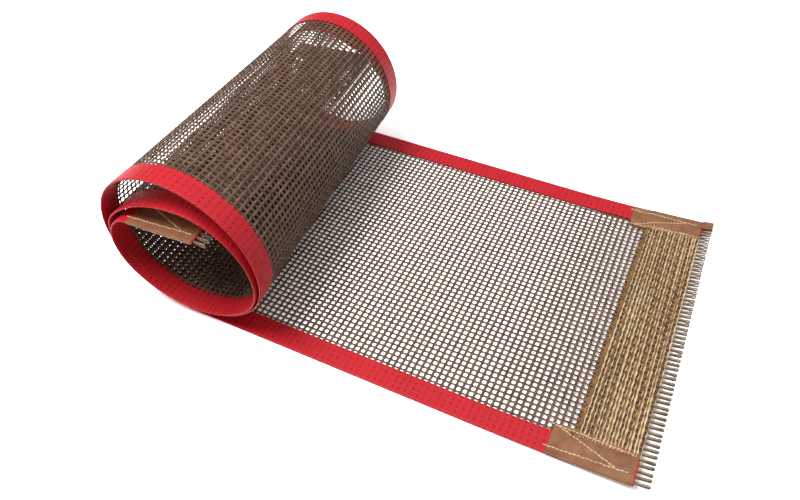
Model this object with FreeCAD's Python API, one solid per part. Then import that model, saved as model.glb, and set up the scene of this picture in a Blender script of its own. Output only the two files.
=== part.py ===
import FreeCAD, Part
import math
import os
from collections import namedtuple

# Open-mesh conveyor belt: one cut length, its outer end flat on the floor, the rest rolled up.
# X runs along the belt to its free outer end, Y across its width with the near edge first, Z is up.
# Millimetres and degrees.

# Mesh
MESH_WIDTH = 300.0
MESH_THICKNESS = 1.0
STRAND_PITCH = 5.0

# Tail, from the loops' roots to where the roll touches the floor
TAIL_CURL_LENGTH = 145.0
TAIL_CURL_RADIUS = 1850.0
TAIL_FLAT = 215.0
RUN_IN_NEAR = 25.3
RUN_IN_FAR = 43.0

# Roll: its outer turn at the two edges, then what each turn inwards loses; it lies slacker at the near edge
ROLL_RADIUS_NEAR = 76.7
ROLL_RADIUS_FAR = 68.0
ROLL_HEIGHT_NEAR = 147.5
ROLL_HEIGHT_FAR = 135.6
TURN_COUNT = 2
LAYER_RISE = 3.9
LEFT_STEP = 4.4
TOP_STEP_NEAR = 24.0
TOP_STEP_FAR = 9.5
RIGHT_STEP_NEAR = 4.4
RIGHT_STEP_FAR = 3.0
TOP_LEAN_NEAR = 12.4
TOP_LEAN_FAR = -10.0
LOW_LEAN = -5.8
LEFT_DROP = 5.5
RIGHT_DROP_NEAR = 7.2
RIGHT_DROP_FAR = 1.0

# Inner end: a last bend over, then a straight run that holds the joint
INNER_DROP_NEAR = 26.2
INNER_DROP_FAR = 30.0
INNER_BEND_REACH = 28.0
INNER_TILT = 4.4
INNER_END_RUN = 67.5

# Red edge tapes, folded over the belt's edges
TAPE_THICKNESS = 0.3
TAPE_FACE_WIDTH = 20.5
TAPE_END_GAP = 1.0

# Joint at each end: mesh folded back on itself, sewn, and ending in hairpin loops
FOLD_BACK = 50.0
LOOP_LENGTH = 10.5
LOOP_EYE_RADIUS = 1.8
LOOP_EYE_FACETS = 3
LOOP_STRAND = 0.9
LOOP_WIDTH = 1.6
LOOP_ROOT_DEPTH = 0.5

# Fabric covers at the corners of each joint
COVER_LENGTH = 65.0
COVER_FACE_WIDTH = 29.0
COVER_THICKNESS = 0.3
COVER_CORNER_RADIUS = 9.0
COVER_END_GAP = 2.0

HALF_MESH = MESH_THICKNESS / 2
NEAR_EDGE = -MESH_WIDTH / 2
FAR_EDGE = MESH_WIDTH / 2
UNDERSIDE = HALF_MESH + TAPE_THICKNESS
CUT_MARGIN = 1.0

Piece = namedtuple("Piece", "x z heading radius length sweep")
Roll = namedtuple("Roll", "radius height run_in top_step right_step top_lean right_drop inner_drop")


def inward(heading):
    """Unit vector square to the belt, towards the inside of the roll and the top of the tail."""
    angle = math.radians(heading)
    return math.sin(angle), -math.cos(angle)


def point_on(piece, fraction, height):
    """A point of a piece of the centre line, raised off it towards the inside."""
    turned = piece.heading - piece.sweep * fraction
    nx, nz = inward(turned)
    if piece.sweep:
        cx, cz = inward(piece.heading)
        reach = height - piece.radius
        return piece.x + piece.radius * cx + reach * nx, piece.z + piece.radius * cz + reach * nz
    run = piece.length * fraction
    return piece.x - run * nz + height * nx, piece.z + run * nx + height * nz


def roll_stations(roll):
    """Lowest, leftmost, topmost and rightmost points of each turn, from the outer turn inwards."""
    stations = []
    low_x = top_x = -roll.run_in
    low_z = 0.0
    left = -roll.run_in - roll.radius
    right = -roll.run_in + roll.radius
    top = roll.height
    for turn in range(TURN_COUNT):
        stations.append((low_x, low_z))
        stations.append((left, roll.height / 2 - LEFT_DROP * turn))
        stations.append((top_x, top))
        stations.append((right, roll.height / 2 - roll.right_drop * turn))
        low_z += LAYER_RISE
        left += LEFT_STEP
        low_x = (left + right) / 2 + LOW_LEAN
        right -= roll.right_step
        top -= roll.top_step
        top_x = (left + right) / 2 + roll.top_lean
    stations.append((low_x, low_z))
    stations.append((left, roll.height / 2 - LEFT_DROP * TURN_COUNT))
    stations.append((left + INNER_BEND_REACH, top + roll.top_step - roll.inner_drop))
    return stations


def quarter_radii(first_reach, second_reach):
    """Radii of the two tangent 45 degree arcs that make a quarter turn of unequal reach."""
    wide = math.sqrt(0.5)
    slim = 1 - wide
    scale = wide ** 2 - slim ** 2
    return (wide * first_reach - slim * second_reach) / scale, (wide * second_reach - slim * first_reach) / scale


def centre_line(roll):
    """The middle of the mesh as tangent lines and arcs, from the outer end to the inner one."""
    curl = math.degrees(TAIL_CURL_LENGTH / TAIL_CURL_RADIUS)
    tip_x = TAIL_FLAT + TAIL_CURL_RADIUS * math.sin(math.radians(curl))
    tip_z = TAIL_CURL_RADIUS * (1 - math.cos(math.radians(curl)))
    pieces = [Piece(tip_x, tip_z, 180 + curl, TAIL_CURL_RADIUS, TAIL_CURL_LENGTH, curl)]
    pieces.append(Piece(TAIL_FLAT, 0.0, 180, 0, TAIL_FLAT, 0))
    pieces.append(Piece(0.0, 0.0, 180, 0, roll.run_in, 0))
    heading = 180
    stations = roll_stations(roll)
    for start, stop in zip(stations, stations[1:]):
        across = abs(stop[0] - start[0])
        upright = abs(stop[1] - start[1])
        level_start = heading % 180 == 0
        radii = quarter_radii(across, upright) if level_start else quarter_radii(upright, across)
        x, z = start
        for size in radii:
            at_inner_bend = stop is stations[-1] and size is radii[1]
            sweep = 45 - INNER_TILT if at_inner_bend else 45
            pieces.append(Piece(x, z, heading, size, math.radians(sweep) * size, sweep))
            x, z = point_on(pieces[-1], 1, 0)
            heading -= sweep
    pieces.append(Piece(x, z, heading, 0, INNER_END_RUN, 0))
    return pieces


ROLL_NEAR = Roll(ROLL_RADIUS_NEAR, ROLL_HEIGHT_NEAR, RUN_IN_NEAR, TOP_STEP_NEAR, RIGHT_STEP_NEAR,
                 TOP_LEAN_NEAR, RIGHT_DROP_NEAR, INNER_DROP_NEAR)
ROLL_FAR = Roll(ROLL_RADIUS_FAR, ROLL_HEIGHT_FAR, RUN_IN_FAR, TOP_STEP_FAR, RIGHT_STEP_FAR,
                TOP_LEAN_FAR, RIGHT_DROP_FAR, INNER_DROP_FAR)
NEAR_LINE = centre_line(ROLL_NEAR)
FAR_LINE = centre_line(ROLL_FAR)
LAST = len(NEAR_LINE)
LOOP_TIP = point_on(NEAR_LINE[0], -LOOP_LENGTH / TAIL_CURL_LENGTH, HALF_MESH)
ROLL_BACK = min(-RUN_IN_NEAR - ROLL_RADIUS_NEAR, -RUN_IN_FAR - ROLL_RADIUS_FAR) - UNDERSIDE
ORIGIN_X = (LOOP_TIP[0] + ROLL_BACK) / 2


def line_at(y):
    """The centre line at a distance across the belt, blended between its two edges."""
    share = (y - NEAR_EDGE) / MESH_WIDTH
    blended = []
    for near, far in zip(NEAR_LINE, FAR_LINE):
        blended.append(Piece(*[a + (b - a) * share for a, b in zip(near, far)]))
    return blended


def place(pieces, y, position, height):
    """The part's point at a position along the belt, counted in pieces from the outer end."""
    index = min(max(int(position), 0), LAST - 1)
    x, z = point_on(pieces[index], position - index, height)
    return FreeCAD.Vector(x - ORIGIN_X, y, z + UNDERSIDE)


def run_edges(pieces, y, start, stop, height):
    """Edges of one run along the belt, forwards or backwards, at one height."""
    low, high = min(start, stop), max(start, stop)
    marks = [low] + [i for i in range(1, LAST) if low < i < high] + [high]
    edges = []
    for a, b in zip(marks, marks[1:]):
        index = min(int((a + b) / 2), LAST - 1)
        ends = [point_on(pieces[index], at - index, height) for at in (a, (a + b) / 2, b)]
        points = [FreeCAD.Vector(x - ORIGIN_X, y, z + UNDERSIDE) for x, z in ends]
        if start > stop:
            points.reverse()
        straight = pieces[index].sweep == 0
        edges.append(Part.LineSegment(points[0], points[2]) if straight else Part.Arc(*points))
    edges = [edge.toShape() for edge in edges]
    return edges if start <= stop else edges[::-1]


def outline(y, runs):
    """Closed outline in the plane at y: runs of (start, stop, height) joined by short straight ends."""
    pieces = line_at(y)
    edges = []
    for start, stop, height in runs:
        edges += run_edges(pieces, y, start, stop, height)
    closed = []
    for edge, following in zip(edges, edges[1:] + edges[:1]):
        closed.append(edge)
        leave = edge.lastVertex(True).Point
        arrive = following.firstVertex(True).Point
        if leave.distanceToPoint(arrive) > 1e-6:
            closed.append(Part.LineSegment(leave, arrive).toShape())
    return Part.Wire(closed)


def ribbon(y_start, y_stop, runs):
    """Solid that follows the belt between two distances across it."""
    return Part.makeLoft([outline(y_start, runs), outline(y_stop, runs)], True, True)


def outer_share(distance):
    """Position a distance in from the outer end, inside the curled stretch."""
    return distance / TAIL_CURL_LENGTH


def inner_share(distance):
    """Position a distance in from the inner end, inside the straight end run."""
    return LAST - distance / INNER_END_RUN


def belt_runs(start, stop, extra):
    """Outline of the folded and single mesh, grown by extra on every face."""
    under = -HALF_MESH - extra
    single = HALF_MESH + extra
    double = single + MESH_THICKNESS
    outer_step = outer_share(FOLD_BACK + extra)
    inner_step = inner_share(FOLD_BACK + extra)
    runs = [(start, stop, under)]
    if stop > inner_step:
        runs.append((stop, max(inner_step, start), double))
    if start < inner_step and stop > outer_step:
        runs.append((min(stop, inner_step), max(start, outer_step), single))
    if start < outer_step:
        runs.append((min(stop, outer_step), start, double))
    return runs


def hairpin(y, at_outer_end):
    """One strand's hairpin loop: a drop-shaped eye that the joint's pin passes through."""
    root_height = MESH_THICKNESS
    centre = LOOP_LENGTH - LOOP_EYE_RADIUS + LOOP_ROOT_DEPTH
    lean = math.asin(LOOP_EYE_RADIUS / math.hypot(root_height, centre)) - math.atan2(root_height, centre)
    inner_radius = LOOP_EYE_RADIUS - LOOP_STRAND
    apex = centre - inner_radius / math.sin(lean)
    touch = math.pi / 2 + lean
    faces = []
    for radius, root in ((LOOP_EYE_RADIUS, [(0, -root_height), (0, root_height)]), (inner_radius, [(apex, 0)])):
        outline_points = list(root)
        for step in range(LOOP_EYE_FACETS + 1):
            angle = touch - 2 * touch * step / LOOP_EYE_FACETS
            outline_points.append((centre + radius * math.cos(angle), radius * math.sin(angle)))
        corners = [FreeCAD.Vector(x, 0, z) for x, z in outline_points + outline_points[:1]]
        faces.append(Part.Face(Part.makePolygon(corners)))
    loop = faces[0].cut(faces[1]).extrude(FreeCAD.Vector(0, LOOP_WIDTH, 0))
    loop.translate(FreeCAD.Vector(-LOOP_ROOT_DEPTH, y - LOOP_WIDTH / 2, 0))
    position = 0 if at_outer_end else LAST
    pieces = line_at(y)
    index = 0 if at_outer_end else LAST - 1
    heading = pieces[index].heading - pieces[index].sweep * (position - index)
    outwards = heading + 180 if at_outer_end else heading
    loop.rotate(FreeCAD.Vector(0, 0, 0), FreeCAD.Vector(0, -1, 0), outwards)
    seat = place(pieces, 0, position, HALF_MESH)
    loop.translate(seat)
    return loop


def mesh_belt():
    """The woven sheet with its folded-back ends and the loops that its own strands form."""
    sheet = ribbon(NEAR_EDGE, FAR_EDGE, belt_runs(0, LAST, 0))
    loops = []
    count = int(MESH_WIDTH / STRAND_PITCH)
    for i in range(count):
        y = (i + 0.5 - count / 2) * STRAND_PITCH
        loops += [hairpin(y, True), hairpin(y, False)]
    return sheet.fuse(loops)


def edge_tape(edge, side, mesh):
    """Tape folded over one edge; side is -1 at the near edge and 1 at the far one."""
    start = outer_share(TAPE_END_GAP)
    stop = inner_share(TAPE_END_GAP)
    ends = sorted((edge + side * TAPE_THICKNESS, edge - side * TAPE_FACE_WIDTH))
    return ribbon(*ends, belt_runs(start, stop, TAPE_THICKNESS)).cut(mesh)


def joint_cover(edge, side, at_outer_end, inside):
    """Fabric cover folded over the tape at one corner of a joint, seated on what lies inside it."""
    depth = TAPE_THICKNESS + COVER_THICKNESS
    ends = sorted((edge + side * depth, edge - side * COVER_FACE_WIDTH))
    if at_outer_end:
        start, stop = outer_share(COVER_END_GAP), outer_share(COVER_END_GAP + COVER_LENGTH)
    else:
        start, stop = inner_share(COVER_END_GAP + COVER_LENGTH), inner_share(COVER_END_GAP)
    cover = ribbon(*ends, belt_runs(start, stop, depth))
    box = cover.BoundBox
    inner_x = box.XMin
    corner_y = edge - side * COVER_FACE_WIDTH
    radius = COVER_CORNER_RADIUS
    low = box.ZMin - CUT_MARGIN
    height = box.ZLength + 2 * CUT_MARGIN
    block_y = min(corner_y, corner_y + side * radius)
    corner = Part.makeBox(radius, radius, height, FreeCAD.Vector(inner_x, block_y, low))
    round_axis = FreeCAD.Vector(inner_x + radius, corner_y + side * radius, low)
    corner = corner.cut(Part.makeCylinder(radius, height, round_axis))
    return cover.cut([corner] + inside)


def main():
    os.makedirs("parts", exist_ok=True)
    mesh = mesh_belt()
    shapes = {"mesh_belt": mesh}
    for name, edge, side in (("near", NEAR_EDGE, -1), ("far", FAR_EDGE, 1)):
        tape = edge_tape(edge, side, mesh)
        shapes["edge_tape_" + name] = tape
        for end, at_outer_end in (("outer", True), ("inner", False)):
            shapes["joint_cover_%s_%s" % (end, name)] = joint_cover(edge, side, at_outer_end, [mesh, tape])
    for node, shape in shapes.items():
        solid = shape.removeSplitter()
        solid.exportStep("parts/%s.step" % node)
        print(node, len(solid.Solids), solid.isValid(), round(solid.Volume, 1), solid.BoundBox)


main()
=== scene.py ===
import math
from collections import namedtuple

import bmesh
import bpy
import numpy as np
from mathutils import Matrix, Vector


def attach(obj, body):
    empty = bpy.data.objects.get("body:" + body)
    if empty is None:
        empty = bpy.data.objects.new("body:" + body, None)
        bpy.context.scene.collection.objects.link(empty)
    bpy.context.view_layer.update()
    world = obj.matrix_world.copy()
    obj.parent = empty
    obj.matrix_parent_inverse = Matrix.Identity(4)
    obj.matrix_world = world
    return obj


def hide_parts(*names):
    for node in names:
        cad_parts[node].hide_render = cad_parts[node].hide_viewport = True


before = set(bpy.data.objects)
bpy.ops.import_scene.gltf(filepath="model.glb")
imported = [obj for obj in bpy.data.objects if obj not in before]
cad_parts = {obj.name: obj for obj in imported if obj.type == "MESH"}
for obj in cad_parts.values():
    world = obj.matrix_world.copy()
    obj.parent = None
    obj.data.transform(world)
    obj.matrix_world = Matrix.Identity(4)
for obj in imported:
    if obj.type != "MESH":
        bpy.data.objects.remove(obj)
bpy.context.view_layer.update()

# Sizes in millimetres, the same as the part's: one flat strip is made, then laid along the belt's own line.
MESH_WIDTH = 300.0
HALF_MESH = 0.5
STRAND_PITCH = 5.0
NEAR_EDGE = -150.0
FAR_EDGE = 150.0
TAIL_CURL_LENGTH = 145.0
TAIL_CURL_RADIUS = 1850.0
TAIL_FLAT = 215.0
TURN_COUNT = 2
LAYER_RISE = 3.9
LEFT_STEP = 4.4
LOW_LEAN = -5.8
LEFT_DROP = 5.5
INNER_BEND_REACH = 28.0
INNER_TILT = 4.4
INNER_END_RUN = 67.5
UNDERSIDE = 0.8
ORIGIN_X = 129.2375
FOLD_BACK = 50.0
LOOP_LENGTH = 10.5
LOOP_EYE_RADIUS = 1.8
TAPE_THICKNESS = 0.3
TAPE_FACE_WIDTH = 20.5
COVER_LENGTH = 65.0
COVER_FACE_WIDTH = 29.0
COVER_CORNER_RADII = {"near": 5.0, "far": 8.5}
COVER_END_GAP = 2.0
MILLIMETRE = 0.001

Roll = namedtuple("Roll", "radius height run_in top_step right_step top_lean right_drop inner_drop")
Piece = namedtuple("Piece", "x z heading radius length sweep")

ROLL_NEAR = Roll(radius=76.7, height=147.5, run_in=25.3, top_step=24.0, right_step=4.4, top_lean=12.4,
                 right_drop=7.2, inner_drop=26.2)
ROLL_FAR = Roll(radius=68.0, height=135.6, run_in=43.0, top_step=9.5, right_step=3.0, top_lean=-10.0,
                right_drop=1.0, inner_drop=30.0)


# The belt's line in side view

def inward(heading):
    """The direction from the belt towards the inside of the roll, or up from the tail."""
    turned = math.radians(heading)
    return math.sin(turned), -math.cos(turned)


def point_on(piece, fraction):
    turned = piece.heading - piece.sweep * fraction
    nx, nz = inward(turned)
    if piece.sweep:
        cx, cz = inward(piece.heading)
        return piece.x + piece.radius * (cx - nx), piece.z + piece.radius * (cz - nz)
    run = piece.length * fraction
    return piece.x - run * nz, piece.z + run * nx


def roll_stations(roll):
    """The lowest, leftmost, highest and rightmost point of each turn, then the inner end's bend."""
    stations = []
    low_x = top_x = -roll.run_in
    low_z = 0.0
    left, right, top = -roll.run_in - roll.radius, -roll.run_in + roll.radius, roll.height
    for turn in range(TURN_COUNT):
        stations.append((low_x, low_z))
        stations.append((left, roll.height / 2 - LEFT_DROP * turn))
        stations.append((top_x, top))
        stations.append((right, roll.height / 2 - roll.right_drop * turn))
        low_z += LAYER_RISE
        left += LEFT_STEP
        low_x = (left + right) / 2 + LOW_LEAN
        right -= roll.right_step
        top -= roll.top_step
        top_x = (left + right) / 2 + roll.top_lean
    stations.append((low_x, low_z))
    stations.append((left, roll.height / 2 - LEFT_DROP * TURN_COUNT))
    stations.append((left + INNER_BEND_REACH, top + roll.top_step - roll.inner_drop))
    return stations


def quarter_radii(first, second):
    """Two tangent eighth-circle arcs that cover a quarter turn of these two reaches."""
    wide = math.sqrt(0.5)
    short = 1 - wide
    scale = wide * wide - short * short
    return (wide * first - short * second) / scale, (wide * second - short * first) / scale


def centre_line(roll):
    curl = math.degrees(TAIL_CURL_LENGTH / TAIL_CURL_RADIUS)
    tip_x = TAIL_FLAT + TAIL_CURL_RADIUS * math.sin(math.radians(curl))
    tip_z = TAIL_CURL_RADIUS * (1 - math.cos(math.radians(curl)))
    pieces = [Piece(tip_x, tip_z, 180 + curl, TAIL_CURL_RADIUS, TAIL_CURL_LENGTH, curl)]
    pieces.append(Piece(TAIL_FLAT, 0.0, 180, 0, TAIL_FLAT, 0))
    pieces.append(Piece(0.0, 0.0, 180, 0, roll.run_in, 0))
    heading = 180
    stations = roll_stations(roll)
    for start, stop in zip(stations, stations[1:]):
        across, upright = abs(stop[0] - start[0]), abs(stop[1] - start[1])
        radii = quarter_radii(across, upright) if heading % 180 == 0 else quarter_radii(upright, across)
        x, z = start
        for size in radii:
            at_inner_bend = stop is stations[-1] and size is radii[1]
            sweep = 45 - INNER_TILT if at_inner_bend else 45
            pieces.append(Piece(x, z, heading, size, math.radians(sweep) * size, sweep))
            x, z = point_on(pieces[-1], 1)
            heading -= sweep
    pieces.append(Piece(x, z, heading, 0, INNER_END_RUN, 0))
    return pieces


NEAR_LINE = centre_line(ROLL_NEAR)
FAR_LINE = centre_line(ROLL_FAR)
TAIL_PIECES = 3                      # pieces of the line before the roll begins
LENGTH = sum((near.length + far.length) / 2 for near, far in zip(NEAR_LINE, FAR_LINE))
BEYOND_ENDS = 20                     # millimetres of line past both ends, for the loops
SECOND_TURN_DRIFT = 2.1
LAST_TURN_DRIFT = 4.5


def drift(quarter):
    """How far the inner turns stand out of the roll's near end, after this many quarter turns."""
    second_turn = min(max((quarter - 2) / 8, 0), 1)
    last_turn = min(max((quarter - 6) / 4, 0), 1)
    return SECOND_TURN_DRIFT * second_turn + LAST_TURN_DRIFT * last_turn


def line_table():
    """Rows of length, near x and z, far x and z, heading and drift, about a millimetre apart."""
    rows = []
    done = 0.0
    for index, (near, far) in enumerate(zip(NEAR_LINE, FAR_LINE)):
        length = (near.length + far.length) / 2
        steps = round(length)
        first = -BEYOND_ENDS if index == 0 else 0
        last = steps + BEYOND_ENDS if index == len(NEAR_LINE) - 1 else steps
        for step in range(first, last):
            share = step / steps
            quarter = (index - TAIL_PIECES + share) / 2
            heading = near.heading - near.sweep * share
            places = point_on(near, share) + point_on(far, share)
            rows.append((done + share * length,) + places + (heading, drift(quarter)))
        done += length
    return np.array(rows).T


LINE = line_table()


def lay(flat):
    """Lay flat points (length, across, height; millimetres) along the belt's line, in metres."""
    length, across, height = flat.T
    near_x, near_z, far_x, far_z, heading, slip = (np.interp(length, LINE[0], row) for row in LINE[1:])
    share = (across - NEAR_EDGE) / MESH_WIDTH
    turned = np.radians(heading)
    x = near_x + (far_x - near_x) * share + height * np.sin(turned) - ORIGIN_X
    z = near_z + (far_z - near_z) * share - height * np.cos(turned) + UNDERSIDE
    return np.stack((x, across - slip, z), axis=1) * MILLIMETRE


# Weave

ROWS = 267                           # strands across the belt, counted along it
COLUMNS = 60                         # strands along the belt, counted across it
ROW_PITCH = LENGTH / ROWS
FIRST_COLUMN = NEAR_EDGE + STRAND_PITCH / 2
ACROSS_WIDTH = 2.2                   # a strand across the belt, between two crossings
ACROSS_THICKNESS = 0.5
ALONG_WIDTH = 1.7                    # a strand along the belt, between two crossings
ALONG_THICKNESS = 0.44
WEAVE_SWING = 0.22                   # how far a strand rises and sinks at the crossings
CROSSING_SPREAD = 0.3                # a strand is this share wider where the coat joins two of them
COLUMN_WANDER = 0.18
ROW_WANDER = 0.22
STRAND_SIDES = 6


def smooth(value):
    value = np.clip(value, 0, 1)
    return value * value * (3 - 2 * value)


def wander(place, seed, size):
    """A slow, repeatable unevenness along one strand."""
    return size * (np.sin(place * 0.021 + seed * 2.3) + 0.7 * np.sin(place * 0.057 + seed * 5.1)) / 1.7


def shape_columns(centre=0.0):
    """Strands along the belt: wave, spread at the crossings and wander a little."""
    def shaper(flat):
        length, across, height = flat.T
        column = np.round((across - FIRST_COLUMN) / STRAND_PITCH)
        middle = FIRST_COLUMN + column * STRAND_PITCH
        phase = np.pi * (length / ROW_PITCH - 0.5)
        sign = np.where(column % 2 == 0, 1, -1)
        spread = 1 + CROSSING_SPREAD * np.cos(phase) ** 2
        across = middle + (across - middle) * spread + wander(length, column, COLUMN_WANDER)
        return np.stack((length, across, height + centre + sign * WEAVE_SWING * np.cos(phase)), axis=1)
    return shaper


def shape_rows(centre=0.0, first=0.5):
    """Strands across the belt, over where the others are under; first is where row 0 lies, in pitches."""
    def shaper(flat):
        length, across, height = flat.T
        row = np.round(length / ROW_PITCH - first)
        middle = (row + first) * ROW_PITCH
        phase = np.pi * (across - FIRST_COLUMN) / STRAND_PITCH
        sign = np.where(row % 2 == 0, 1, -1)
        spread = 1 + CROSSING_SPREAD * np.cos(phase) ** 2
        length = middle + (length - middle) * spread + wander(across, row * 0.37, ROW_WANDER)
        return np.stack((length, across, height + centre - sign * WEAVE_SWING * np.cos(phase)), axis=1)
    return shaper


# Making pieces

def ring(bm, place, along, across, up, sides=STRAND_SIDES):
    """An oval ring of edges; along is its axis, across and up are its two radii as vectors."""
    turn = Matrix((across, up, along)).transposed().to_4x4()
    turn.translation = place
    made = bmesh.ops.create_circle(bm, segments=sides, radius=1, matrix=turn)
    edges = {edge for vert in made["verts"] for edge in vert.link_edges}
    return made["verts"] + list(edges)


def pull(bm, geometry, step, steps):
    """Extrude a ring in equal straight steps and return the last ring."""
    made = bmesh.ops.spin(bm, geom=geometry, cent=(0, 0, 0), axis=(0, 0, 1), dvec=step, angle=0,
                          steps=steps)
    return made["geom_last"]


def turn_round(bm, geometry, centre, axis, angle, steps):
    made = bmesh.ops.spin(bm, geom=geometry, cent=centre, axis=axis, angle=angle, steps=steps)
    return made["geom_last"]


def close_ends(bm):
    open_edges = [edge for edge in bm.edges if edge.is_boundary]
    bmesh.ops.holes_fill(bm, edges=open_edges, sides=0)


def repeat(bm, offsets):
    """Copy everything made so far to these offsets; the first one moves the original."""
    original = bm.verts[:] + bm.edges[:] + bm.faces[:]
    for offset in offsets[1:]:
        copied = bmesh.ops.duplicate(bm, geom=original)["geom"]
        verts = [item for item in copied if isinstance(item, bmesh.types.BMVert)]
        bmesh.ops.translate(bm, verts=verts, vec=Vector(offset))
    bmesh.ops.translate(bm, verts=[item for item in original if isinstance(item, bmesh.types.BMVert)],
                        vec=Vector(offsets[0]))


def points(mesh):
    flat = np.empty(len(mesh.vertices) * 3)
    mesh.vertices.foreach_get("co", flat)
    return flat.reshape(-1, 3)


def make_piece(name, bm, material, shapers=(), replaces=(), uv=False, sharp=None):
    """Turn a flat bmesh into a finished piece: shape its points, lay it, give it its finish."""
    if uv:
        layer = bm.loops.layers.uv.new("Flat")
        for face in bm.faces:
            for loop in face.loops:
                loop[layer].uv = loop.vert.co.xy * MILLIMETRE
    mesh = bpy.data.meshes.new(name)
    bm.to_mesh(mesh)
    bm.free()
    flat = points(mesh)
    for shaper in shapers:
        flat = shaper(flat)
    mesh.vertices.foreach_set("co", lay(flat).ravel())
    bm = bmesh.new()
    bm.from_mesh(mesh)
    bmesh.ops.recalc_face_normals(bm, faces=bm.faces)
    bm.to_mesh(mesh)
    bm.free()
    mesh.shade_smooth()
    if sharp:
        mesh.set_sharp_from_angle(angle=math.radians(sharp))
    mesh.materials.append(material)
    piece = bpy.data.objects.new(name, mesh)
    bpy.context.scene.collection.objects.link(piece)
    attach(piece, "root")
    if replaces:
        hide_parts(*replaces)
    return piece


# Finishes

def colour(text):
    """sRGB hex to the linear colour that shaders take."""
    channels = [int(text[place:place + 2], 16) / 255 for place in (1, 3, 5)]
    linear = [c / 12.92 if c <= 0.04045 else ((c + 0.055) / 1.055) ** 2.4 for c in channels]
    return tuple(linear) + (1.0,)


def add(tree, kind, settings=None, **inputs):
    """Add one node, with its settings and what its inputs are set to or linked from."""
    node = tree.nodes.new(kind)
    for name, value in (settings or {}).items():
        setattr(node, name, value)
    for name, value in inputs.items():
        numbered = name[0] == "i" and name[1:].isdigit()
        socket = node.inputs[int(name[1:])] if numbered else node.inputs[name.replace("_", " ")]
        if isinstance(value, bpy.types.Node):
            value = value.outputs[0]
        if isinstance(value, bpy.types.NodeSocket):
            tree.links.new(value, socket)
        else:
            socket.default_value = value
    return node


def new_material(name):
    material = bpy.data.materials.new(name)
    material.use_nodes = True
    material.node_tree.nodes.clear()
    return material, material.node_tree


def per_metre(size):
    """The scale of a pattern whose features are this many millimetres apart."""
    return 1 / (size * MILLIMETRE)


def strand_finish(name, dark, light, roughness):
    """Glass-fibre strands dipped in brown PTFE: a waxy, slightly uneven coat, paler in places."""
    material, tree = new_material(name)
    place = add(tree, "ShaderNodeTexCoord").outputs["Object"]
    clouds = add(tree, "ShaderNodeTexNoise", Vector=place, Scale=per_metre(9), Detail=3.0, Roughness=0.6)
    grain = add(tree, "ShaderNodeTexNoise", Vector=place, Scale=per_metre(1.1), Detail=3.0, Roughness=0.6)
    both = add(tree, "ShaderNodeMath", {"operation": "ADD"}, i0=clouds, i1=grain)
    share = add(tree, "ShaderNodeMapRange", Value=both, From_Min=0.75, From_Max=1.3)
    shade = add(tree, "ShaderNodeMix", {"data_type": "RGBA"}, i0=share, i6=colour(dark), i7=colour(light))
    bump = add(tree, "ShaderNodeBump", Strength=0.5, Distance=0.15 * MILLIMETRE, Height=grain)
    rough = add(tree, "ShaderNodeMapRange", Value=grain, To_Min=roughness - 0.08, To_Max=roughness + 0.08)
    shader = add(tree, "ShaderNodeBsdfPrincipled", Base_Color=shade.outputs[2], Roughness=rough,
                 Normal=bump, IOR=1.36)
    add(tree, "ShaderNodeOutputMaterial", Surface=shader)
    return material


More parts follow.
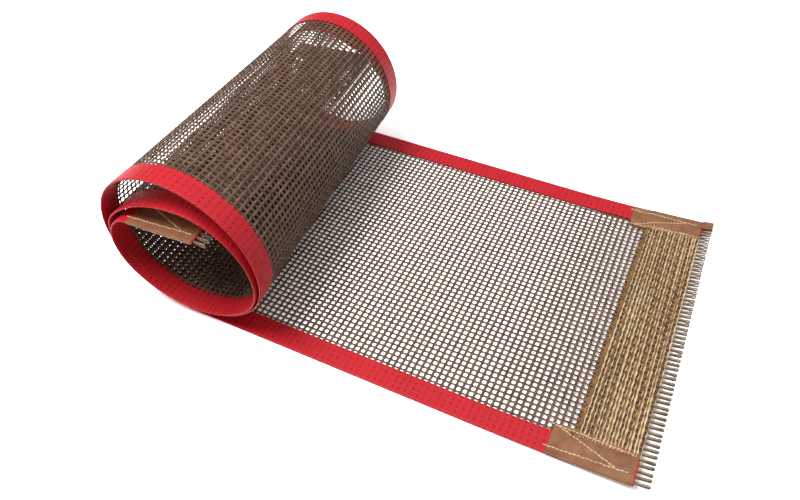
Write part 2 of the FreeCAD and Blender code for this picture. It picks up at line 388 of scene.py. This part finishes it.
def tape_finish():
    """Red silicone-coated glass tape, heat-sealed on the edge: the mesh prints through it as short bars."""
    material, tree = new_material("red_coated_glass_tape")
    flat = add(tree, "ShaderNodeUVMap", {"uv_map": "Flat"})
    parts = add(tree, "ShaderNodeSeparateXYZ", Vector=flat)
    place = add(tree, "ShaderNodeTexCoord").outputs["Object"]
    worn = add(tree, "ShaderNodeTexNoise", Vector=place, Scale=per_metre(6), Detail=4.0, Roughness=0.65)
    fine = add(tree, "ShaderNodeTexNoise", Vector=place, Scale=per_metre(1.4), Detail=4.0, Roughness=0.7)
    broad = add(tree, "ShaderNodeTexNoise", Vector=place, Scale=per_metre(70), Detail=3.0)
    masks = []
    # how far a bar reaches from its middle, in pitches: along the belt, then across it
    bar_sizes = ((parts.outputs[0], ROW_PITCH, 0.24), (parts.outputs[1], STRAND_PITCH, 0.46))
    for value, pitch, reach in bar_sizes:
        cells = add(tree, "ShaderNodeMath", {"operation": "MULTIPLY_ADD"}, i0=value, i1=per_metre(pitch),
                    i2=0.5)
        inside = add(tree, "ShaderNodeMath", {"operation": "FRACT"}, i0=cells)
        apart = add(tree, "ShaderNodeMath", {"operation": "SUBTRACT"}, i0=inside, i1=0.5)
        apart = add(tree, "ShaderNodeMath", {"operation": "ABSOLUTE"}, i0=apart)
        masks.append(add(tree, "ShaderNodeMapRange", {"interpolation_type": "SMOOTHSTEP"}, Value=apart,
                         From_Min=reach, From_Max=reach * 0.4, To_Min=0.0, To_Max=1.0))
    bars = add(tree, "ShaderNodeMath", {"operation": "MULTIPLY"}, i0=masks[0], i1=masks[1])
    red = add(tree, "ShaderNodeMix", {"data_type": "RGBA"}, i0=broad, i6=colour("#C01422"),
              i7=colour("#DE2432"))
    amount = add(tree, "ShaderNodeMapRange", Value=worn, From_Min=0.36, From_Max=0.66, To_Min=0.15,
                 To_Max=0.9)
    amount = add(tree, "ShaderNodeMath", {"operation": "MULTIPLY"}, i0=amount, i1=bars)
    printed = add(tree, "ShaderNodeMix", {"data_type": "RGBA"}, i0=amount, i6=red.outputs[2],
                  i7=colour("#8E1019"))
    # painted highlight: paler red painted where the fine bump stands highest
    paler = add(tree, "ShaderNodeMapRange", Value=fine, From_Min=0.58, From_Max=0.74, To_Min=0.0,
                To_Max=0.35)
    painted_highlight = add(tree, "ShaderNodeMix", {"data_type": "RGBA"}, i0=paler, i6=printed.outputs[2],
                 i7=colour("#F2545C"))
    dirt = add(tree, "ShaderNodeTexNoise", Vector=place, Scale=per_metre(2.6), Detail=5.0, Roughness=0.75)
    dirt = add(tree, "ShaderNodeMapRange", Value=dirt, From_Min=0.66, From_Max=0.74, To_Min=0.0, To_Max=0.7)
    shade = add(tree, "ShaderNodeMix", {"data_type": "RGBA"}, i0=dirt, i6=painted_highlight.outputs[2],
                i7=colour("#5A1015"))
    height = add(tree, "ShaderNodeMath", {"operation": "MULTIPLY_ADD"}, i0=bars, i1=-0.8, i2=fine)
    bump = add(tree, "ShaderNodeBump", Strength=0.6, Distance=0.25 * MILLIMETRE, Height=height)
    shader = add(tree, "ShaderNodeBsdfPrincipled", Base_Color=shade.outputs[2], Normal=bump, Roughness=0.5,
                 IOR=1.38)
    add(tree, "ShaderNodeOutputMaterial", Surface=shader)
    return material


def cover_finish():
    """Tan PTFE glass cloth: a fine plain weave under a waxy, cloudy coat."""
    material, tree = new_material("tan_ptfe_glass_cloth")
    flat = add(tree, "ShaderNodeUVMap", {"uv_map": "Flat"})
    place = add(tree, "ShaderNodeTexCoord").outputs["Object"]
    waves = []
    for direction in ("X", "Y"):
        # threads 1.2 mm apart, twice the real spacing, so that the weave shows; at scale 1 this texture
        # repeats every pi / 10
        waves.append(add(tree, "ShaderNodeTexWave", {"bands_direction": direction, "wave_profile": "SIN"},
                         Vector=flat, Scale=per_metre(1.2) * math.pi / 10, Distortion=0.6, Detail=1.0))
    weave = add(tree, "ShaderNodeMath", {"operation": "MULTIPLY"}, i0=waves[0].outputs[1],
                i1=waves[1].outputs[1])
    cloud = add(tree, "ShaderNodeTexNoise", Vector=place, Scale=per_metre(12), Detail=5.0, Roughness=0.6)
    tone = add(tree, "ShaderNodeMath", {"operation": "MULTIPLY_ADD"}, i0=weave, i1=0.3, i2=cloud)
    share = add(tree, "ShaderNodeMapRange", Value=tone, From_Min=0.35, From_Max=0.85)
    shade = add(tree, "ShaderNodeMix", {"data_type": "RGBA"}, i0=share, i6=colour("#7F4E34"),
                i7=colour("#AC7A56"))
    bump = add(tree, "ShaderNodeBump", Strength=0.5, Distance=0.12 * MILLIMETRE, Height=weave)
    shader = add(tree, "ShaderNodeBsdfPrincipled", Base_Color=shade.outputs[2], Normal=bump, Roughness=0.34,
                 IOR=1.4)
    add(tree, "ShaderNodeOutputMaterial", Surface=shader)
    return material


def thread_finish(name, dark, light):
    """Cream aramid sewing thread: matt, fibrous, a little soiled."""
    material, tree = new_material(name)
    place = add(tree, "ShaderNodeTexCoord").outputs["Object"]
    fibres = add(tree, "ShaderNodeTexNoise", Vector=place, Scale=per_metre(0.8), Detail=2.0)
    soil = add(tree, "ShaderNodeTexNoise", Vector=place, Scale=per_metre(7), Detail=3.0)
    tone = add(tree, "ShaderNodeMath", {"operation": "ADD"}, i0=fibres, i1=soil)
    share = add(tree, "ShaderNodeMapRange", Value=tone, From_Min=0.7, From_Max=1.2)
    shade = add(tree, "ShaderNodeMix", {"data_type": "RGBA"}, i0=share, i6=colour(dark), i7=colour(light))
    bump = add(tree, "ShaderNodeBump", Strength=0.6, Distance=0.2 * MILLIMETRE, Height=fibres)
    shader = add(tree, "ShaderNodeBsdfPrincipled", Base_Color=shade.outputs[2], Normal=bump, Roughness=0.7)
    add(tree, "ShaderNodeOutputMaterial", Surface=shader)
    return material


COLUMN_FINISH = strand_finish("brown_ptfe_glass_strand_along", "#4A372B", "#867059", 0.54)
ROW_FINISH = strand_finish("brown_ptfe_glass_strand_across", "#563D31", "#926F5A", 0.52)
SEAM_FINISH = strand_finish("golden_brown_ptfe_glass_strand", "#684628", "#B38958", 0.55)
LOOP_FINISH = strand_finish("brown_ptfe_glass_strand_loop", "#75614F", "#B9A38C", 0.45)
TAPE_FINISH = tape_finish()
COVER_FINISH = cover_finish()
THREAD_FINISH = thread_finish("cream_aramid_thread", "#CBA067", "#F8E2B8")


# The mesh: strands along the belt in two pieces, strands across it in two

def strand_places(columns):
    return [(0, FIRST_COLUMN + column * STRAND_PITCH, 0) for column in columns]


def column_strands(columns, start, stop):
    """Strands along the belt between two lengths, two steps to each row."""
    bm = bmesh.new()
    steps = round((stop - start) / ROW_PITCH * 2)
    first = ring(bm, (start, 0, 0), (1, 0, 0), (0, ALONG_WIDTH / 2, 0), (0, 0, ALONG_THICKNESS / 2))
    pull(bm, first, ((stop - start) / steps, 0, 0), steps)
    close_ends(bm)
    repeat(bm, strand_places(columns))
    return bm


def row_strands(rows, first=0.5):
    """Strands across the belt, two steps to each column; first is where row 0 lies, in pitches."""
    bm = bmesh.new()
    start = ring(bm, (0, NEAR_EDGE, 0), (0, 1, 0), (ACROSS_WIDTH / 2, 0, 0), (0, 0, ACROSS_THICKNESS / 2))
    pull(bm, start, (0, STRAND_PITCH / 2, 0), COLUMNS * 2)
    close_ends(bm)
    repeat(bm, [((row + first) * ROW_PITCH, 0, 0) for row in rows])
    return bm


middle_column = COLUMNS // 2
make_piece("mesh_strands_along_near", column_strands(range(middle_column), 0, LENGTH),
           COLUMN_FINISH, [shape_columns()], ["mesh_belt"])
make_piece("mesh_strands_along_far", column_strands(range(middle_column, COLUMNS), 0, LENGTH),
           COLUMN_FINISH, [shape_columns()])
middle_row = ROWS // 2
make_piece("mesh_strands_across_tail", row_strands(range(middle_row)), ROW_FINISH, [shape_rows()])
make_piece("mesh_strands_across_roll", row_strands(range(middle_row, ROWS)), ROW_FINISH,
           [shape_rows()])


# The two ends: mesh folded back, cut ends, hairpin loops and seam threads

FOLD_ROWS = 9
FOLD_CENTRE = 2 * HALF_MESH          # the folded-back layer lies on the first one
SECOND_LAYER_START = 0.98            # where the folded-back layer's first strand across lies, in pitches
CUT_END_LENGTH = 4.0
CUT_END_START = FOLD_ROWS * ROW_PITCH - 0.8
FIBRE_PITCH = 0.55
FIBRE_PLACES = (-1.1, -0.55, 0.0, 0.55, 1.1)
THREAD_RADIUS = 0.5
THREAD_INSET = 22.5                  # the rows of thread start this far from the edge
THREAD_STEPS = 102
THREAD_ROWS = (1.3, 4.4, 6.6, 9.9, 12.3, 15.6, 18.2, 21.0, 23.6, 26.4, 29.0, 31.9, 35.0, 37.3, 40.8,
               43.9, 46.9)           # their distances from the end of the mesh
LOOP_LIFT = 0.12                     # the loops rise this much for each millimetre beyond the mesh
LOOP_LOSS = 0.24                     # the loops are this share shorter at the far edge
LOOP_ROOT = 1.5                      # where the loops leave the mesh, from its end
LOOP_STRAND_HALF_WIDTH = 0.95
LOOP_STRAND_HALF_THICKNESS = 0.42


def mirror_ends(flat):
    """The inner end is made as the outer one, from the other end of the strip."""
    return flat * (-1, 1, 1) + (LENGTH, 0, 0)


def end_shapers(at_outer_end, *shapers):
    return list(shapers) if at_outer_end else list(shapers) + [mirror_ends]


def fold_back(at_outer_end, name):
    """The end of the mesh folded back on itself: its strands across lie over the first layer's holes."""
    columns = column_strands(range(COLUMNS), 0, FOLD_ROWS * ROW_PITCH)
    shapers = end_shapers(at_outer_end, shape_columns(FOLD_CENTRE))
    make_piece(name + "_strands_along", columns, SEAM_FINISH, shapers)
    rows = row_strands(range(FOLD_ROWS), SECOND_LAYER_START)
    shapers = end_shapers(at_outer_end, shape_rows(FOLD_CENTRE, SECOND_LAYER_START))
    make_piece(name + "_strands_across", rows, SEAM_FINISH, shapers)


def fray(flat):
    """Fan the cut fibres out and let them end at different lengths."""
    length, across, height = flat.T
    out = (length - FOLD_ROWS * ROW_PITCH) / CUT_END_LENGTH
    fibre = np.round(across / FIBRE_PITCH)
    length = length + out * 1.1 * np.sin(fibre * 2.9)
    across = across + out * (0.9 * np.sin(fibre * 1.7) + 0.5 * np.sin(fibre * 4.3))
    height = height + FOLD_CENTRE + out * (0.35 * np.sin(fibre * 3.7) - 0.25)
    return np.stack((length, across, height), axis=1)


def cut_ends(at_outer_end, name):
    """The folded-back strands end in short frayed bunches of fibres."""
    bm = bmesh.new()
    for across in FIBRE_PLACES:
        first = ring(bm, (CUT_END_START, across, 0), (1, 0, 0), (0, 0.4, 0), (0, 0, 0.3), 4)
        pull(bm, first, ((CUT_END_LENGTH + 0.8) / 2, 0, 0), 2)
    close_ends(bm)
    repeat(bm, strand_places(range(COLUMNS)))
    make_piece(name, bm, SEAM_FINISH, end_shapers(at_outer_end, fray))


def hairpin_loops(at_outer_end, name):
    """Each strand's own bend: out along the belt, round the pin's channel and back."""
    bm = bmesh.new()
    radius = LOOP_EYE_RADIUS - LOOP_STRAND_HALF_THICKNESS
    centre = -(LOOP_LENGTH - LOOP_EYE_RADIUS)
    reach = LOOP_ROOT - centre
    lean = math.asin(radius / math.hypot(reach, HALF_MESH)) - math.atan2(HALF_MESH, reach)
    touch = Vector((centre + radius * math.sin(lean), 0, HALF_MESH - radius * math.cos(lean)))
    start = Vector((LOOP_ROOT, 0, 0))
    leg = touch - start
    along = leg.normalized()
    side = Vector((0, LOOP_STRAND_HALF_WIDTH, 0))
    up = along.cross(side).normalized() * LOOP_STRAND_HALF_THICKNESS
    first = ring(bm, start, along, side, up)
    last = pull(bm, first, leg / 2, 2)
    last = turn_round(bm, last, (centre, 0, HALF_MESH), (0, 1, 0), math.pi + 2 * lean, 6)
    back = Vector((start.x, 0, FOLD_CENTRE)) - Vector((touch.x, 0, FOLD_CENTRE - touch.z))
    pull(bm, last, back / 2, 2)
    close_ends(bm)
    repeat(bm, strand_places(range(COLUMNS)))

    def lift(flat):
        length, across, height = flat.T
        column = np.round((across - FIRST_COLUMN) / STRAND_PITCH)
        beyond = np.maximum(-length, 0)
        askew = beyond * 0.05 * np.sin(column * 2.6)
        length = length + beyond * LOOP_LOSS * (across - NEAR_EDGE) / MESH_WIDTH
        return np.stack((length, across + askew, height + beyond * LOOP_LIFT), axis=1)

    make_piece(name, bm, LOOP_FINISH, end_shapers(at_outer_end, lift))


def shape_threads(face):
    """Threads rise over each strand along the belt and sink between; face is 1 on top, -1 underneath."""
    def shaper(flat):
        length, across, height = flat.T
        row = np.round(length * 2)
        phase = 2 * np.pi * (across - FIRST_COLUMN) / STRAND_PITCH
        base = FOLD_CENTRE if face > 0 else 0.0
        rise = 0.58 + 0.3 * np.cos(phase) + 0.1 * np.sin(across * 0.9 + row)
        length = length + wander(across, row * 0.73, 0.5) + 0.3 * np.sin(across * 1.9 + row * 1.3)
        return np.stack((length, across, height + base + face * rise), axis=1)
    return shaper


def seam_threads(at_outer_end, face, name):
    """Rows of sewing thread between the two covers."""
    bm = bmesh.new()
    start = (0, NEAR_EDGE + THREAD_INSET, 0)
    first = ring(bm, start, (0, 1, 0), (THREAD_RADIUS, 0, 0), (0, 0, THREAD_RADIUS), 4)
    pull(bm, first, (0, STRAND_PITCH / 2, 0), THREAD_STEPS)
    close_ends(bm)
    repeat(bm, [(place, 0, 0) for place in THREAD_ROWS])
    make_piece(name, bm, THREAD_FINISH, end_shapers(at_outer_end, shape_threads(face)))


for outer, prefix in ((True, "outer"), (False, "inner")):
    fold_back(outer, prefix + "_fold")
    cut_ends(outer, prefix + "_cut_ends")
    hairpin_loops(outer, prefix + "_loops")
    seam_threads(outer, 1, prefix + "_threads_above")
    seam_threads(outer, -1, prefix + "_threads_below")


# Tapes and covers: strips folded over the belt's edges

FOLD_CUTS = (-1.9, -1.1, -0.4, 0.4, 1.1, 1.9)
EDGE_GAP = 0.1                       # a strip's fold stands this far beyond the edge of the mesh
PRINT_DEPTH = 0.1
TAPE_STEPS, TAPE_COLUMNS = ROWS * 2, 6
COVER_STEPS, COVER_COLUMNS = 26, 24


def folded_strip(start, stop, face_width, thickness, steps, columns):
    """A flat strip, from -face_width (underneath) to +face_width (on top), with extra cuts at the fold."""
    bm = bmesh.new()
    middle = Matrix.Translation(((start + stop) / 2, 0, 0))
    grid = middle @ Matrix.Diagonal((stop - start, 2 * face_width, 1, 1))
    bmesh.ops.create_grid(bm, x_segments=steps, y_segments=columns, size=0.5, matrix=grid)
    for cut in FOLD_CUTS:
        bmesh.ops.bisect_plane(bm, geom=bm.verts[:] + bm.edges[:] + bm.faces[:], plane_co=(0, cut, 0),
                               plane_no=(0, 1, 0))
    bmesh.ops.solidify(bm, geom=bm.faces[:], thickness=-thickness)
    return bm


def doubled(length):
    """1 where the mesh is doubled by its fold-back, else 0."""
    from_end = np.minimum(length, LENGTH - length)
    return 1 - smooth((from_end - FOLD_BACK + 1.0) / 4.0)


def fold_over(side, under):
    """Fold a flat strip over one edge; under is the thickness of the tape beneath it, if any."""
    def shaper(flat):
        length, spread, height = flat.T
        reach = np.abs(spread)
        step = under * (1 - smooth((reach - TAPE_FACE_WIDTH) / 1.2 - 0.3))
        above = HALF_MESH + step + 2 * HALF_MESH * doubled(length)
        below = HALF_MESH + step
        radius = (above + below) / 2
        angle = np.clip(spread / radius, -math.pi / 2, math.pi / 2)
        beyond = np.maximum(reach - radius * math.pi / 2, 0)
        edge = NEAR_EDGE if side < 0 else FAR_EDGE
        out = EDGE_GAP + under - radius + (radius + height) * np.cos(angle) - beyond
        upright = (above - below) / 2 + (radius + height) * np.sin(angle)
        return np.stack((length, edge + side * out, upright), axis=1)
    return shaper


def printed_through(flat):
    """The tape sinks a little into each hole of the mesh."""
    length, spread, height = flat.T
    hollow = (np.cos(np.pi * length / ROW_PITCH) * np.cos(np.pi * spread / STRAND_PITCH)) ** 2
    sink = PRINT_DEPTH * hollow * smooth((np.abs(spread) - 2) / 2)
    return np.stack((length, spread, height - sink), axis=1)


for side, word in ((-1, "near"), (1, "far")):
    strip = folded_strip(1.0, LENGTH - 1.0, TAPE_FACE_WIDTH, TAPE_THICKNESS, TAPE_STEPS, TAPE_COLUMNS)
    tape = make_piece(f"red_tape_{word}", strip, TAPE_FINISH,
                      [printed_through, fold_over(side, 0.0)], [f"edge_tape_{word}"], uv=True, sharp=50)


def round_corner(radius):
    """The cover's inner corner is cut to a curve, on top and underneath."""
    def shaper(flat):
        length, spread, height = flat.T
        into = np.clip(np.abs(spread) - (COVER_FACE_WIDTH - radius), 0, radius)
        short = radius - np.sqrt(np.maximum(radius ** 2 - into ** 2, 0))
        length = COVER_END_GAP + (length - COVER_END_GAP) * (COVER_LENGTH - short) / COVER_LENGTH
        return np.stack((length, spread, height), axis=1)
    return shaper


STITCH_PITCH = 3.2
STITCH_HALF_LENGTH = 2.05
STITCH_HALF_WIDTH = 0.72
STITCH_HALF_HEIGHT = 0.4
STITCH_REST = 0.12                   # a stitch's middle lies this far above the cover
FOLD_LOSS = 1.15                     # a strip is this much wider than its reach from the belt's edge
STITCH_LINES = (((69.5, 26.0), (2.5, 23.5)), ((70.0, 5.5), (4.0, 7.7)), ((64.0, 25.6), (14.0, 7.2)))


def cover_stitches(face):
    """Three lines of stitches on one face of a cover, flat; face is 1 on top, -1 underneath."""
    bm = bmesh.new()
    for start, stop in STITCH_LINES:
        start = Vector((start[0], face * (start[1] + FOLD_LOSS), 0))
        stop = Vector((stop[0], face * (stop[1] + FOLD_LOSS), 0))
        run = stop - start
        along = run.normalized()
        across = Vector((0, 0, 1)).cross(along)
        count = int(run.length / STITCH_PITCH)
        for number in range(count):
            middle = start + along * STITCH_PITCH * (number + 0.5) + across * 0.25 * math.sin(number * 2.3)
            turn = Matrix((along * STITCH_HALF_LENGTH, across * STITCH_HALF_WIDTH,
                           Vector((0, 0, STITCH_HALF_HEIGHT))))
            turn = turn.transposed().to_4x4()
            turn.translation = middle + Vector((0, 0, TAPE_THICKNESS + STITCH_REST))
            bmesh.ops.create_icosphere(bm, subdivisions=1, radius=1, matrix=turn)
    return bm


for side, word in ((-1, "near"), (1, "far")):
    for outer, prefix in ((True, "outer"), (False, "inner")):
        strip = folded_strip(COVER_END_GAP, COVER_END_GAP + COVER_LENGTH, COVER_FACE_WIDTH,
                             TAPE_THICKNESS, COVER_STEPS, COVER_COLUMNS)
        corner = round_corner(COVER_CORNER_RADII[word])
        shapers = end_shapers(outer, corner, fold_over(side, TAPE_THICKNESS))
        cover = make_piece(f"{prefix}_cover_{word}", strip, COVER_FINISH, shapers,
                           [f"joint_cover_{prefix}_{word}"], uv=True, sharp=50)
        shapers = end_shapers(outer, fold_over(side, TAPE_THICKNESS))
        sewn = [make_piece(f"{prefix}_stitches_{word}_{where}", cover_stitches(face), THREAD_FINISH,
                           shapers)
                for face, where in ((1, "above"), (-1, "below"))]


def corner_tab():
    """A scrap of the cover's cloth sewn round the last two loops at the far outer corner."""
    bm = bmesh.new()
    near, far = FAR_EDGE - 10.2, FAR_EDGE + 0.4
    top, low = 2.6, -0.9
    ends = [bm.verts.new((1.8, across, top)) for across in (near, near + 3.5, near + 7.1, far)]
    edges = [bm.edges.new(pair) for pair in zip(ends, ends[1:])]
    last = pull(bm, ends + edges, (-2.1, 0, 0), 4)
    middle = (top + low) / 2
    last = turn_round(bm, last, (-6.6, 0, middle), (0, -1, 0), math.pi, 6)
    pull(bm, last, (2.1, 0, 0), 4)
    bmesh.ops.recalc_face_normals(bm, faces=bm.faces)
    bmesh.ops.solidify(bm, geom=bm.faces[:], thickness=0.35)
    return bm


def lift_tab(flat):
    length, across, height = flat.T
    ruck = 0.25 * np.sin(length * 0.9) * np.sin(across * 0.7)
    return np.stack((length, across, height + np.maximum(-length, 0) * LOOP_LIFT + ruck), axis=1)


make_piece("outer_corner_tab", corner_tab(), COVER_FINISH, [lift_tab], uv=True, sharp=50)


# Floor, light and camera

FLOOR_SHOWN = (2.2, 2.2, 2.2, 1)
FLOOR_LIT = (0.5, 0.5, 0.5, 1)
ROOM_SHOWN = 1.0
ROOM_LIT = 0.32
LAMPS = (("key", (-0.6, -0.4, 1.6), 0.8, 25.0), ("fill", (0.5, 0.7, 1.6), 1.2, 6.0))
LAMP_AIM = Vector((-0.1, 0, 0.05))
CAMERA_PLACE = Vector((180.176, -429.368, 491.352)) * MILLIMETRE
CAMERA_AZIMUTH, CAMERA_ELEVATION, CAMERA_ROLL = 25.899, 46.148, -0.268
FOCAL_LENGTH = 709.94                # in pixels of a picture 800 wide
PICTURE_WIDTH = 800
SENSOR_WIDTH = 36.0


def build_stage():
    bm = bmesh.new()
    bmesh.ops.create_grid(bm, x_segments=1, y_segments=1, size=4.0)
    mesh = bpy.data.meshes.new("floor")
    bm.to_mesh(mesh)
    bm.free()
    floor = bpy.data.objects.new("floor", mesh)
    bpy.context.scene.collection.objects.link(floor)
    material, tree = new_material("pale_studio_floor")
    path = add(tree, "ShaderNodeLightPath")
    seen = add(tree, "ShaderNodeMath", {"operation": "MAXIMUM"}, i0=path.outputs["Is Camera Ray"],
               i1=path.outputs["Is Glossy Ray"])
    seen = add(tree, "ShaderNodeMath", {"operation": "MAXIMUM"}, i0=seen,
               i1=path.outputs["Is Transmission Ray"])
    # the floor shows as white, keeps the shadow, and throws little light up into the roll
    shade = add(tree, "ShaderNodeMix", {"data_type": "RGBA"}, i0=seen, i6=FLOOR_LIT, i7=FLOOR_SHOWN)
    matt = add(tree, "ShaderNodeBsdfDiffuse", Color=shade.outputs[2])
    add(tree, "ShaderNodeOutputMaterial", Surface=matt)
    mesh.materials.append(material)


def build_light():
    world = bpy.data.worlds.new("studio")
    bpy.context.scene.world = world
    world.use_nodes = True
    tree = world.node_tree
    tree.nodes.clear()
    path = add(tree, "ShaderNodeLightPath")
    seen = add(tree, "ShaderNodeMath", {"operation": "MAXIMUM"}, i0=path.outputs["Is Camera Ray"],
               i1=path.outputs["Is Transmission Ray"])
    # white to the eye, while it lights the belt only gently
    strength = add(tree, "ShaderNodeMapRange", Value=seen, To_Min=ROOM_LIT, To_Max=ROOM_SHOWN)
    backdrop = add(tree, "ShaderNodeBackground", Color=(1, 1, 1, 1), Strength=strength)
    add(tree, "ShaderNodeOutputWorld", Surface=backdrop)
    for name, place, size, power in LAMPS:
        lamp = bpy.data.lights.new(name, "AREA")
        lamp.size = size
        lamp.energy = power
        holder = bpy.data.objects.new(name, lamp)
        holder.location = place
        holder.rotation_euler = (LAMP_AIM - Vector(place)).to_track_quat("-Z", "Y").to_euler()
        bpy.context.scene.collection.objects.link(holder)


def build_camera():
    """The photograph's own viewpoint, worked out from the belt's straight edges and its mesh."""
    azimuth = math.radians(CAMERA_AZIMUTH)
    elevation = math.radians(CAMERA_ELEVATION)
    roll = math.radians(CAMERA_ROLL)
    back = Vector((math.sin(azimuth) * math.cos(elevation), -math.cos(azimuth) * math.cos(elevation),
                   math.sin(elevation)))
    level = Vector((0, 0, 1)).cross(back).normalized()
    upright = back.cross(level)
    right = level * math.cos(roll) + upright * math.sin(roll)
    up = upright * math.cos(roll) - level * math.sin(roll)
    lens = bpy.data.cameras.new("camera")
    lens.sensor_width = SENSOR_WIDTH
    lens.lens = FOCAL_LENGTH / PICTURE_WIDTH * SENSOR_WIDTH
    camera = bpy.data.objects.new("camera", lens)
    turn = Matrix((right, up, back)).transposed().to_4x4()
    turn.translation = CAMERA_PLACE
    camera.matrix_world = turn
    bpy.context.scene.collection.objects.link(camera)
    bpy.context.scene.camera = camera


build_stage()
build_light()
build_camera()
bpy.context.scene.view_settings.view_transform = "Standard"
